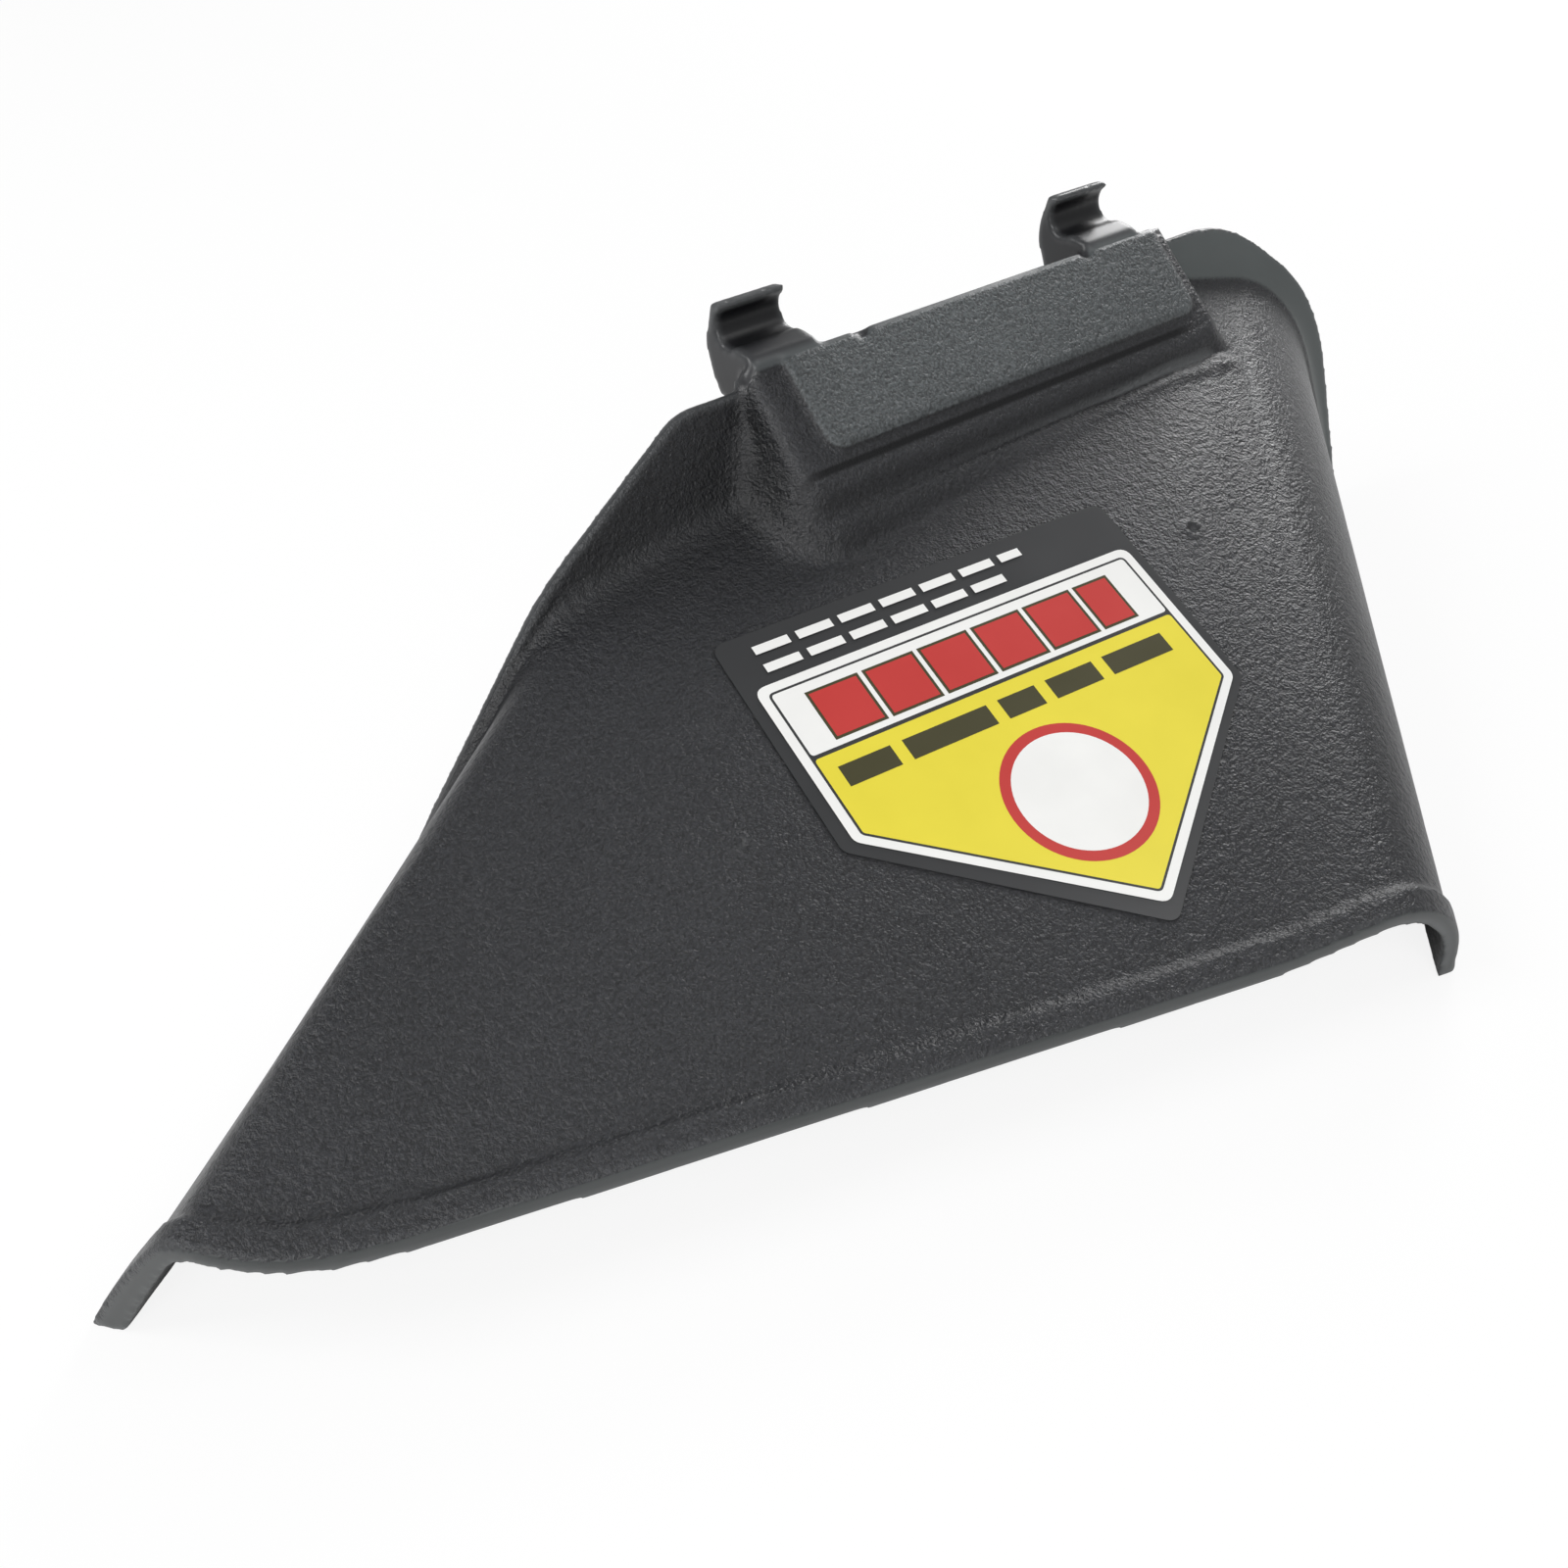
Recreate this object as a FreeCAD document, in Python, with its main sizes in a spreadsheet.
import FreeCAD, Part
import os
import math
import Sketcher

# Side discharge deflector for a walk-behind mower, moulded in one piece, with its printed film label.
# Millimetres. X runs along the hinge rod, Y back towards the mower deck, Z up.
# The origin lies on the hinge axis, midway between the two snap hooks.

doc = FreeCAD.newDocument("discharge_deflector")

SIZES = {
    # the hinge and its two snap hooks
    "hinge_height": 100.0,
    "hook_spacing": 111.0,
    "hook_width": 20.0,
    "groove_radius": 4.5,
    "hook_tip_height": 4.9,
    "hook_tip_back": 6.3,
    "hook_tip_front": 3.1,
    "hook_back": 8.6,
    "hook_nose": 3.5,
    "hook_root": 11.0,
    "hook_heel": 17.0,
    "hook_edge": 0.7,
    # the moulded wall and the thick edge round the outlet
    "wall": 3.0,
    "rim_width": 6.0,
    "rim_proud": 1.4,
    # the outlet: a vertical cut, turned towards the left
    "outlet_reach": 177.0,
    "outlet_yaw": 17.0,
    "outlet_margin": 12.0,
    "left_foot": 262.0,
    "left_ridge": 233.0,
    "left_ridge_rise": 26.5,
    "left_ridge_radius": 15.0,
    "left_dip": 186.0,
    "left_dip_rise": 19.6,
    "right_dip": 11.0,
    "right_dip_rise": 17.0,
    "right_ridge": 37.5,
    "right_ridge_rise": 25.2,
    "right_ridge_radius": 20.0,
    "right_foot": 37.8,
    "return_start": 203.0,
    "return_angle": 34.0,
    "return_radius": 45.0,
    # the inlet: a collar plate that leans back from the deck
    "collar_lean": 20.0,
    "collar_front": 5.0,
    "collar_thick": 3.0,
    "inlet_left_foot": 189.0,
    "inlet_left_ridge": 112.0,
    "inlet_left_drop": 38.5,
    "inlet_dip_left": 82.0,
    "inlet_dip_left_drop": 31.2,
    "inlet_dip_right": 84.0,
    "inlet_dip_right_drop": 16.0,
    "inlet_right_ridge": 139.5,
    "inlet_right_drop": 30.0,
    "inlet_right_foot": 153.0,
    "inlet_left_radius": 38.0,
    "inlet_right_radius": 40.0,
    "dip_radius": 60.0,
    # the collar plate's outline
    "collar_left_foot": 203.0,
    "collar_left_bend": 131.0,
    "collar_left_bend_drop": 36.5,
    "collar_left_top": 86.0,
    "collar_top_drop": 10.8,
    "collar_right_edge": 143.6,
    "collar_right_foot": 145.0,
    "collar_right_drop": 38.0,
    "collar_right_bend": 104.0,
    "collar_corner": 44.0,
    "collar_left_corner": 16.0,
    "collar_bend_radius": 100.0,
    "crease_left_round": 2.0,
    # the raised hinge boss: a lip and a pad that slope up to the hooks
    "lip_slope": 40.0,
    "lip_left": 67.0,
    "lip_right": 76.0,
    "lip_front": 35.0,
    "lip_edge": 3.0,
    "lip_rise": 1.7,
    "boss_depth": 50.0,
    "boss_foot_left": 15.0,
    "boss_foot_right": 8.0,
    "boss_foot_front_left": 47.0,
    "boss_foot_front_right": 57.0,
    "boss_corner": 9.0,
    "boss_foot_corner": 16.0,
    "boss_foot_round": 5.0,
    "pad_left": 57.0,
    "pad_right": 71.0,
    "pad_front": 29.6,
    "pad_back": 10.0,
    "pad_proud": 1.5,
    "pad_root": 2.0,
    "pad_corner": 4.5,
    "pad_edge": 0.8,
    "notch_left": 33.0,
    "notch_right": 45.0,
    "notch_radius": 2.5,
    # far enough out to clear the whole moulding
    "plan_side": 220.0,
    # the printed film, in plan
    "film_thick": 0.25,
    "film_x": 53.0,
    "film_y": 53.9,
    "film_turn": 7.9,
    "film_half_width": 53.7,
    "film_side": 54.3,
    "film_height": 96.3,
    "film_corner": 3.0,
}

sheet = doc.addObject("Spreadsheet::Sheet", "Sizes")
for row, (name, value) in enumerate(SIZES.items(), start=1):
    sheet.set("A%d" % row, name)
    sheet.set("B%d" % row, str(value))
    sheet.setAlias("B%d" % row, name)
doc.recompute()


def origin_plane(body, role):
    """Finds one of a body's own origin planes."""
    for feature in body.Origin.OriginFeatures:
        if feature.Role == role:
            return feature
    raise ValueError("no plane " + role)


def sketch_on(body, name, role, base=("0", "0", "0"), turn=None):
    """Puts a sketch on an origin plane of its body, shifted and turned by sizes from the sheet."""
    sketch = body.newObject("Sketcher::SketchObject", name)
    sketch.AttachmentSupport = [(origin_plane(body, role), "")]
    sketch.MapMode = "FlatFace"
    if turn:
        axis, angle = turn
        sketch.AttachmentOffset = FreeCAD.Placement(FreeCAD.Vector(), FreeCAD.Rotation(axis, 1.0))
        sketch.setExpression(".AttachmentOffset.Rotation.Angle", angle)
    for letter, text in zip("xyz", base):
        if text != "0":
            sketch.setExpression(".AttachmentOffset.Base." + letter, text)
    doc.recompute()
    return sketch


def rounded_corner(before, corner, after, radius):
    """Works out where a round of this radius leaves the two lines that meet at a corner."""
    back = (before - corner).normalize()
    ahead = (after - corner).normalize()
    half = back.getAngle(ahead) / 2
    reach = radius / math.tan(half)
    middle = corner + (back + ahead).normalize() * (radius / math.sin(half))
    return corner + back * reach, corner + ahead * reach, middle


def outline(sketch, corners):
    """Draws a closed outline tied to the sheet: each corner has a place and, if rounded, a radius."""
    spots = []
    for across, up, radius in corners:
        spots.append(FreeCAD.Vector(sketch.evalExpression(across), sketch.evalExpression(up), 0))
    count = len(spots)
    starts = list(spots)
    ends = list(spots)
    middles = [None] * count
    for i, (across, up, radius) in enumerate(corners):
        if radius:
            value = float(sketch.evalExpression(radius))
            ends[i], starts[i], middles[i] = rounded_corner(spots[i - 1], spots[i], spots[(i + 1) % count], value)
    lines = []
    for i in range(count):
        lines.append(sketch.addGeometry(Part.LineSegment(starts[i], ends[(i + 1) % count]), False))
    for i, (across, up, radius) in enumerate(corners):
        before = lines[i - 1]
        after = lines[i]
        if radius:
            point = sketch.addGeometry(Part.Point(spots[i]), True)
            holder = (point, 1)
            sketch.addConstraint(Sketcher.Constraint("PointOnObject", point, 1, before))
            sketch.addConstraint(Sketcher.Constraint("PointOnObject", point, 1, after))
            arc, first, last = add_arc(sketch, middles[i], ends[i], starts[i])
            sketch.addConstraint(Sketcher.Constraint("Tangent", before, 2, arc, first))
            sketch.addConstraint(Sketcher.Constraint("Tangent", arc, last, after, 1))
            value = float(sketch.evalExpression(radius))
            index = sketch.addConstraint(Sketcher.Constraint("Radius", arc, value))
            sketch.setExpression("Constraints[%d]" % index, radius)
        else:
            holder = (after, 1)
            sketch.addConstraint(Sketcher.Constraint("Coincident", before, 2, after, 1))
        for kind, text, value in (("DistanceX", across, spots[i].x), ("DistanceY", up, spots[i].y)):
            index = sketch.addConstraint(Sketcher.Constraint(kind, -1, 1, holder[0], holder[1], value))
            sketch.setExpression("Constraints[%d]" % index, text)
    doc.recompute()


def add_arc(sketch, middle, start, end):
    """Adds the short arc between two points and says which of its ends meets each."""
    up = FreeCAD.Vector(0, 0, 1)
    turn = (start - middle).cross(end - middle).z
    first, second = (start, end) if turn > 0 else (end, start)
    circle = Part.Circle(middle, up, (start - middle).Length)
    low = math.atan2(first.y - middle.y, first.x - middle.x)
    high = math.atan2(second.y - middle.y, second.x - middle.x)
    arc = sketch.addGeometry(Part.ArcOfCircle(circle, low, high), False)
    return (arc, 1, 2) if turn > 0 else (arc, 2, 1)


def loft(body, name, first, second):
    """Runs a straight-lined solid from one outline to the other."""
    feature = body.newObject("PartDesign::AdditiveLoft", name)
    feature.Profile = (first, [""])
    feature.Sections = [(second, [""])]
    feature.Ruled = True
    doc.recompute()
    return feature


OUTLET_TURN = (FreeCAD.Vector(0, 1, 0), "-Sizes.outlet_yaw")
COLLAR_TURN = (FreeCAD.Vector(1, 0, 0), "-Sizes.collar_lean")
LIP_TURN = (FreeCAD.Vector(1, 0, 0), "Sizes.lip_slope")


def outlet_base(reach):
    """Places a sketch on the outlet's cut plane, at a distance from the hinge."""
    return ("-(%s) * sin(Sizes.outlet_yaw)" % reach, "0", "(%s) * cos(Sizes.outlet_yaw)" % reach)


def collar_base(depth):
    """Places a sketch at a depth behind the collar's front face."""
    front = "(Sizes.collar_front - (%s))" % depth
    return ("0", front + " * sin(Sizes.collar_lean)", front + " * cos(Sizes.collar_lean)")


def up_collar(height, depth):
    """Turns a height over the hinge axis into a distance up the leaning collar plane."""
    front = "(Sizes.collar_front - (%s))" % depth
    return "(%s - %s * sin(Sizes.collar_lean)) / cos(Sizes.collar_lean)" % (height, front)


def above_hem(alias):
    """Writes a height above the hem as one over the hinge axis, ready for something to be added."""
    return "Sizes.%s - Sizes.hinge_height + " % alias


def chute_form(name, grow, below):
    """The chute as a solid of its outer form, grown or shrunk by a thickness all round."""
    body = doc.addObject("PartDesign::Body", name)
    side = "(%s)" % grow
    convex = "Sizes.%s + " + side
    hollow = "Sizes.%s - " + side
    reach = "Sizes.outlet_reach + Sizes.outlet_margin"
    outlet = sketch_on(body, name + "_outlet", "XZ_Plane", outlet_base(reach), OUTLET_TURN)
    outline(outlet, [
        ("-Sizes.left_foot - 1.2 * " + side, below, None),
        ("-Sizes.left_ridge - 0.5 * " + side, above_hem("left_ridge_rise") + side, convex % "left_ridge_radius"),
        ("-Sizes.left_dip - 0.15 * " + side, above_hem("left_dip_rise") + side, hollow % "dip_radius"),
        ("-Sizes.right_dip + 0.07 * " + side, above_hem("right_dip_rise") + side, hollow % "dip_radius"),
        ("Sizes.right_ridge + " + side, above_hem("right_ridge_rise") + side, convex % "right_ridge_radius"),
        ("Sizes.right_foot + " + side, below, None),
    ])
    depth = "Sizes.collar_thick + 6"
    inlet = sketch_on(body, name + "_inlet", "XZ_Plane", collar_base(depth), COLLAR_TURN)
    outline(inlet, [
        ("-Sizes.inlet_left_foot - 1.5 * " + side, up_collar(below, depth), None),
        ("-Sizes.inlet_left_ridge - 0.4 * " + side, up_collar("-Sizes.inlet_left_drop + " + side, depth),
         convex % "inlet_left_radius"),
        ("-Sizes.inlet_dip_left", up_collar("-Sizes.inlet_dip_left_drop + " + side, depth),
         hollow % "dip_radius"),
        ("Sizes.inlet_dip_right", up_collar("-Sizes.inlet_dip_right_drop + " + side, depth),
         convex % "dip_radius"),
        ("Sizes.inlet_right_ridge + 0.8 * " + side, up_collar("-Sizes.inlet_right_drop + " + side, depth),
         convex % "inlet_right_radius"),
        ("Sizes.inlet_right_foot + 1.1 * " + side, up_collar(below, depth), None),
    ])
    loft(body, name + "_form", outlet, inlet)
    return body


def pad_from(body, name, sketch, length, reversed_way=False, both_ways=False):
    """Pads a sketch by a length from the sheet."""
    feature = body.newObject("PartDesign::Pad", name)
    feature.Profile = (sketch, [""])
    feature.Length = 1.0
    feature.setExpression("Length", length)
    feature.Reversed = reversed_way
    feature.Midplane = both_ways
    doc.recompute()
    return feature


def add_circle(sketch, across, up, radius):
    """Draws a circle whose place and radius are tied to the sheet."""
    size = float(sketch.evalExpression(radius))
    spot = FreeCAD.Vector(sketch.evalExpression(across), sketch.evalExpression(up), 0)
    ring = sketch.addGeometry(Part.Circle(spot, FreeCAD.Vector(0, 0, 1), size), False)
    index = sketch.addConstraint(Sketcher.Constraint("Radius", ring, size))
    sketch.setExpression("Constraints[%d]" % index, radius)
    for kind, text, value in (("DistanceX", across, spot.x), ("DistanceY", up, spot.y)):
        index = sketch.addConstraint(Sketcher.Constraint(kind, -1, 1, ring, 3, value))
        sketch.setExpression("Constraints[%d]" % index, text)
    doc.recompute()


def pocket(body, name, sketch, depth, both_ways=False):
    """Cuts a sketch into a body by a depth from the sheet."""
    feature = body.newObject("PartDesign::Pocket", name)
    feature.Profile = (sketch, [""])
    feature.Midplane = both_ways
    feature.Length = 1.0
    feature.setExpression("Length", depth)
    doc.recompute()
    return feature


def combine(kind, name, shapes):
    """Joins, or keeps what is common to, several shapes."""
    feature = doc.addObject(kind, name)
    feature.Shapes = shapes
    doc.recompute()
    return feature


def cut_away(name, base, tool):
    """Takes one shape out of another."""
    feature = doc.addObject("Part::Cut", name)
    feature.Base = base
    feature.Tool = tool
    doc.recompute()
    return feature


def plan_block(name, inset):
    """A tall block whose plan is the outlet's trim line: straight, then turned back at the left corner."""
    body = doc.addObject("PartDesign::Body", name)
    turn = (FreeCAD.Vector(0, 0, 1), "-Sizes.outlet_yaw")
    sketch = sketch_on(body, name + "_plan", "XY_Plane", ("0", "0", "-Sizes.hinge_height"), turn)
    edge = "-(Sizes.outlet_reach - %s)" % inset
    start = "-(Sizes.return_start - %s * tan(Sizes.return_angle / 2))" % inset
    outline(sketch, [
        (start, edge, "Sizes.return_radius - " + inset),
        ("Sizes.plan_side", edge, None),
        ("Sizes.plan_side", "Sizes.plan_side", None),
        ("-Sizes.plan_side * 1.5", "Sizes.plan_side", None),
        ("-Sizes.plan_side * 1.5", edge + " + (Sizes.plan_side * 1.5 - Sizes.return_start"
         " + %s * tan(Sizes.return_angle / 2)) * tan(Sizes.return_angle)" % inset, None),
    ])
    pad_from(body, name + "_block", sketch, "Sizes.hinge_height * 1.5")
    return body


def block_before(name, depth):
    """A block that ends at a depth behind the collar's front face."""
    body = doc.addObject("PartDesign::Body", name)
    sketch = sketch_on(body, name + "_side", "YZ_Plane")
    top = "Sizes.hinge_height * 0.5"
    low = "-Sizes.hinge_height * 1.2"
    lean = "%s * tan(Sizes.collar_lean) + (" + depth + " - Sizes.collar_front) / cos(Sizes.collar_lean)"
    outline(sketch, [
        (lean % low, low, None),
        (lean % top, top, None),
        ("-Sizes.plan_side * 2", top, None),
        ("-Sizes.plan_side * 2", low, None),
    ])
    pad_from(body, name + "_block", sketch, "Sizes.plan_side * 4", both_ways=True)
    return body


def collar_plate():
    """The flat collar round the inlet, which laps the deck's opening."""
    body = doc.addObject("PartDesign::Body", "collar_plate")
    sketch = sketch_on(body, "collar_outline", "XZ_Plane", collar_base("0"), COLLAR_TURN)
    outline(sketch, [
        ("-Sizes.collar_left_foot", up_collar("-Sizes.hinge_height", "0"), None),
        ("Sizes.collar_right_foot", up_collar("-Sizes.hinge_height", "0"), None),
        ("Sizes.collar_right_edge", up_collar("-Sizes.collar_right_drop", "0"), "Sizes.collar_corner"),
        ("Sizes.collar_right_bend", up_collar("-Sizes.collar_top_drop", "0"), "Sizes.collar_corner"),
        ("-Sizes.collar_left_top", up_collar("-Sizes.collar_top_drop", "0"), "Sizes.collar_left_corner"),
        ("-Sizes.collar_left_bend", up_collar("-Sizes.collar_left_bend_drop", "0"), "Sizes.collar_bend_radius"),
    ])
    pad_from(body, "collar_pad", sketch, "Sizes.collar_thick", reversed_way=True)
    return body


def boss_form(name, grow, depth):
    """The hinge boss: a sloping lip that spreads to a wider foot inside the chute's top."""
    body = doc.addObject("PartDesign::Body", name)
    side = "(%s)" % grow
    top = sketch_on(body, name + "_lip", "XY_Plane", ("0", "0", "Sizes.lip_rise + 1.3 * " + side), LIP_TURN)
    up_slope = " / cos(Sizes.lip_slope)"
    lip_back = "(Sizes.pad_back - Sizes.pad_proud * sin(Sizes.lip_slope) - 1.2 * %s)" % side
    left = "-Sizes.lip_left - " + side
    right = "Sizes.lip_right + " + side
    front = "-(Sizes.lip_front + %s)%s" % (side, up_slope)
    outline(top, [
        (left, front, "Sizes.boss_corner + " + side),
        (right, front, "Sizes.boss_corner + " + side),
        (right, "-" + lip_back + up_slope, None),
        (left, "-" + lip_back + up_slope, None),
    ])
    foot = sketch_on(body, name + "_foot", "XY_Plane", ("0", "0", "-" + depth))
    left = "-Sizes.lip_left - Sizes.boss_foot_left - " + side
    right = "Sizes.lip_right + Sizes.boss_foot_right + " + side
    square_back = "(%s + Sizes.lip_rise) * tan(Sizes.lip_slope) - %s / cos(Sizes.lip_slope) ^ 2" % (depth, lip_back)
    outline(foot, [
        (left, "-Sizes.boss_foot_front_left - " + side, "Sizes.boss_foot_corner + " + side),
        (right, "-Sizes.boss_foot_front_right - " + side, "Sizes.boss_foot_corner + " + side),
        (right, square_back, None),
        (left, square_back, None),
    ])
    loft(body, name + "_loft", top, foot)
    return body


def edges_where(shape, test):
    """Names the edges of a shape whose points all pass a test."""
    names = []
    for i, edge in enumerate(shape.Edges):
        if all(test(point) for point in edge.discretize(5)):
            names.append("Edge%d" % (i + 1))
    return names


def near(*shapes):
    """A test that a point lies on the skin of each of these shapes."""
    skins = [Part.makeShell(shape.Faces) for shape in shapes]
    return lambda point: all(skin.distToShape(Part.Vertex(point))[0] < 0.01 for skin in skins)


def round_edges(body, name, test, radius):
    """Rounds the edges of a body's last feature that pass a test, with a radius from the sheet."""
    last = body.Tip
    feature = body.newObject("PartDesign::Fillet", name)
    feature.Base = (last, edges_where(last.Shape, test))
    feature.Radius = 1.0
    feature.setExpression("Radius", radius)
    doc.recompute()
    return feature


def carry_on(name, base):
    """Starts a body on a finished shape, so that its edges can be rounded."""
    body = doc.addObject("PartDesign::Body", name)
    body.BaseFeature = base
    doc.recompute()
    return body


def hinge_pad():
    """The flat pad that stands a little proud of the lip, between and beyond the hooks."""
    body = doc.addObject("PartDesign::Body", "hinge_pad")
    top = "Sizes.lip_rise + Sizes.pad_proud / cos(Sizes.lip_slope)"
    sketch = sketch_on(body, "hinge_pad_outline", "XY_Plane", ("0", "0", top), LIP_TURN)
    up_slope = " / cos(Sizes.lip_slope)"
    outline(sketch, [
        ("-Sizes.pad_left", "-Sizes.pad_front" + up_slope, "Sizes.pad_corner"),
        ("Sizes.pad_right", "-Sizes.pad_front" + up_slope, "Sizes.pad_corner"),
        ("Sizes.pad_right", "-Sizes.pad_back" + up_slope, None),
        ("-Sizes.pad_left", "-Sizes.pad_back" + up_slope, None),
    ])
    pad_from(body, "hinge_pad_plate", sketch, "Sizes.pad_proud + Sizes.pad_root", reversed_way=True)
    cutter = sketch_on(body, "hinge_pad_notches", "XY_Plane", ("0", "0", top), LIP_TURN)
    for across in ("-Sizes.notch_left", "Sizes.notch_right"):
        add_circle(cutter, across, "-Sizes.pad_back" + up_slope, "Sizes.notch_radius")
    pocket(body, "hinge_pad_notch_cut", cutter, "Sizes.pad_proud")
    rise = sheet.lip_rise + sheet.pad_proud / math.cos(math.radians(sheet.lip_slope))
    slope = math.tan(math.radians(sheet.lip_slope))
    round_edges(body, "pad_edge_round", lambda p: abs(p.z - rise - p.y * slope) < 0.02, "Sizes.pad_edge")
    return body


def snap_hook(name, side):
    """One open hook: a trough that wraps the hinge rod, on a heel that runs into the collar's back."""
    body = doc.addObject("PartDesign::Body", name)
    place = ("0", "0", side + " * Sizes.hook_spacing / 2")
    profile = sketch_on(body, name + "_profile", "YZ_Plane", place)
    outline(profile, [
        ("Sizes.hook_tip_front", "Sizes.hook_tip_height", None),
        ("-0.65 * Sizes.groove_radius", "-0.76 * Sizes.groove_radius", None),
        ("-Sizes.pad_back + 1.5", "-Sizes.hook_nose - 0.4", "1.5"),
        ("-Sizes.hook_root", "-Sizes.hook_nose - 2.5", None),
        ("-Sizes.hook_root", "-Sizes.hook_heel - 4", None),
        ("Sizes.hook_back - 5", "-Sizes.hook_heel", "4"),
        ("Sizes.hook_back + 0.4", "-0.4 * Sizes.hook_heel", "12"),
        ("Sizes.hook_tip_back", "Sizes.hook_tip_height - 0.5", "1"),
    ])
    pad_from(body, name + "_block", profile, "Sizes.hook_width", both_ways=True)
    middle = float(side) * sheet.hook_spacing / 2

    def on_side(point):
        return abs(abs(point.x - middle) - sheet.hook_width / 2) < 0.01 and point.y > 1 - sheet.hook_root

    round_edges(body, name + "_edge_round", on_side, "Sizes.hook_edge")
    bore = sketch_on(body, name + "_rod", "YZ_Plane", place)
    add_circle(bore, "0", "0", "Sizes.groove_radius")
    pocket(body, name + "_groove", bore, "Sizes.hook_width * 2", both_ways=True)
    return body


def film_plan():
    """The printed film's cut outline, seen from above: a block with a pointed lower end."""
    body = doc.addObject("PartDesign::Body", "film_plan")
    turn = (FreeCAD.Vector(0, 0, 1), "-Sizes.film_turn")
    place = ("-Sizes.film_x", "-Sizes.film_y", "-Sizes.hinge_height")
    sketch = sketch_on(body, "film_outline", "XY_Plane", place, turn)
    outline(sketch, [
        ("-Sizes.film_half_width", "0", "Sizes.film_corner"),
        ("-Sizes.film_half_width", "-Sizes.film_side", "Sizes.film_corner"),
        ("0", "-Sizes.film_height", "Sizes.film_corner"),
        ("Sizes.film_half_width", "-Sizes.film_side", "Sizes.film_corner"),
        ("Sizes.film_half_width", "0", "Sizes.film_corner"),
    ])
    pad_from(body, "film_block", sketch, "Sizes.hinge_height")
    return body


def in_crease(side):
    """A test that a point lies where the chute runs into the collar's front face, on one side."""
    touching = near(collar.Shape, outer.Shape)
    lean = math.radians(sheet.collar_lean)

    def test(point):
        front = point.y * math.cos(lean) - point.z * math.sin(lean) + sheet.collar_front
        above_foot = point.z > 1 - sheet.hinge_height
        return abs(front) < 0.02 and above_foot and point.x * side > 0 and touching(point)

    return test


def on_lip(point):
    """Tells whether a point lies on the boss's sloping lip."""
    slope = math.tan(math.radians(sheet.lip_slope))
    return abs(point.z - sheet.lip_rise - point.y * slope) < 0.02


# The moulding: the chute, its rim, the collar, the boss, the pad and the hooks, less the hollow inside
outer = chute_form("outer_chute", "0", "-Sizes.hinge_height")
inner = chute_form("inner_chute", "-Sizes.wall", "-Sizes.hinge_height - 5")
thick = chute_form("rim_chute", "Sizes.rim_proud", "-Sizes.hinge_height")
rim = cut_away("rim_band", thick, plan_block("rim_back", "Sizes.rim_width"))
boss = boss_form("boss", "0", "Sizes.boss_depth")
round_edges(boss, "lip_edge_round", lambda p: on_lip(p) and p.y < -sheet.pad_back - 0.5, "Sizes.lip_edge")
collar = collar_plate()
solid = combine("Part::MultiFuse", "solid_chute", [outer, rim, boss, collar])
trim = [plan_block("outlet_trim", "0"), block_before("deck_trim", "Sizes.collar_thick")]
trimmed = combine("Part::MultiCommon", "trimmed_chute", [solid] + trim)
blended = carry_on("blended_chute", trimmed)
round_edges(blended, "boss_foot_round", near(boss.Shape, outer.Shape), "Sizes.boss_foot_round")
round_edges(blended, "left_crease_round", in_crease(-1), "Sizes.crease_left_round")
hooks = [snap_hook("left_hook", "-1"), snap_hook("right_hook", "1")]
whole = combine("Part::MultiFuse", "solid_moulding", [blended, hinge_pad()] + hooks)
core = combine("Part::MultiCommon", "boss_hollow", [
    boss_form("boss_core", "-Sizes.wall", "(Sizes.boss_depth + 5)"),
    block_before("collar_trim", "0"),
])
hollow = combine("Part::MultiFuse", "hollow", [inner, core])
shell = cut_away("deflector_shell", whole, hollow)
shell.Label = "deflector_shell"

# The printed film lies on the chute's top panel
skin = chute_form("film_chute", "Sizes.film_thick", "-Sizes.hinge_height")
film = cut_away("label_film", combine("Part::MultiCommon", "film_block_top", [skin, film_plan()]), outer)
film.Label = "label_film"

doc.recompute()
for thing in doc.Objects:
    if "Invalid" in thing.State or "Error" in thing.State:
        raise RuntimeError("a feature failed: " + thing.Name)
os.makedirs("parts", exist_ok=True)
for piece in (shell, film):
    if piece.Shape.isNull() or not piece.Shape.isValid() or len(piece.Shape.Solids) != 1:
        raise RuntimeError("not one sound solid: %s, %d" % (piece.Label, len(piece.Shape.Solids)))
    piece.Shape.exportStep("parts/%s.step" % piece.Label)
